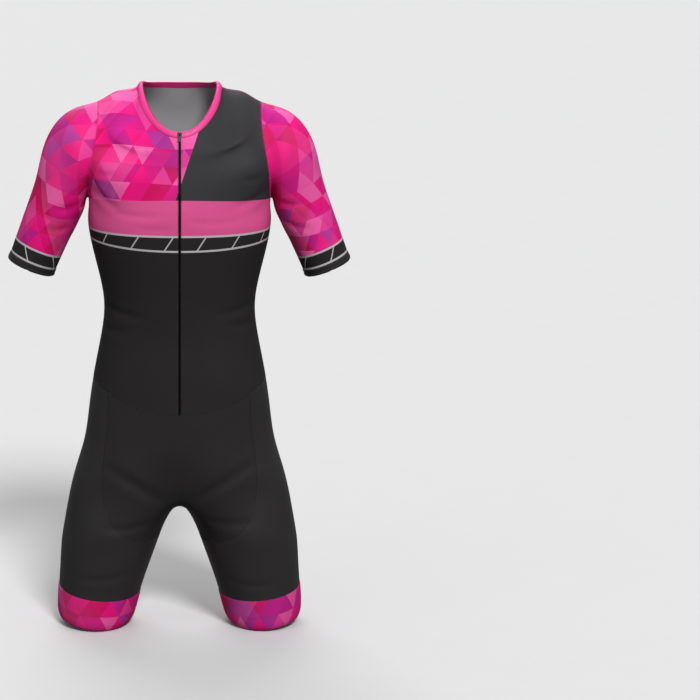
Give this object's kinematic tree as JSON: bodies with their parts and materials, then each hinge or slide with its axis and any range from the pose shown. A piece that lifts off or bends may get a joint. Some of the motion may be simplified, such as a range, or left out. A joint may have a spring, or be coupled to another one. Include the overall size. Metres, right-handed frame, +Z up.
{
  "type": "inline speed skating suit",
  "caption": "Short-sleeved inline speed skating suit, filled out with no wearer: pink triangle-patterned yoke and leg bands, black body and shorts, front zip with a hinged pull.",
  "frame": {"origin": "between the shoulders, level with the neck opening's sides, where the wearer's shoulders hold the suit up", "axes": "+Z up the wearer, -Y is the front with the zip, +X is the wearer's left"},
  "size_m": [0.609, 0.2448, 0.9863],
  "materials": {
    "pink_knit": "smooth elastic knit with a printed triangle mosaic and a low sheen",
    "black_knit": "smooth elastic knit with a low sheen",
    "binding_knit": "folded elastic binding",
    "zip_tape": "woven tape with moulded coil teeth",
    "zip_metal": "black enamel, satin"
  },
  "bodies": {
    "suit": {"front_left": "pink_knit", "front_right": "pink_knit", "back": "pink_knit", "sleeve_left": "pink_knit", "sleeve_right": "pink_knit", "sleeve_hem_left": "black_knit", "sleeve_hem_right": "black_knit", "neck_binding": "binding_knit", "shorts_front": "black_knit", "seat": "black_knit", "leg_left": "black_knit", "leg_right": "black_knit", "leg_band_left": "pink_knit", "leg_band_right": "pink_knit", "zip_chain": "zip_tape", "zip_slider": "zip_metal"},
    "pull": {"zip_pull": "zip_metal"}
  },
  "joints": [
    {"name": "pull_hinge", "type": "hinge", "parent": "suit", "child": "pull", "pos_m": [0, -0.08825, -0.07652], "axis": [-1, 0, 0], "range_deg": [0, 150]}
  ]
}
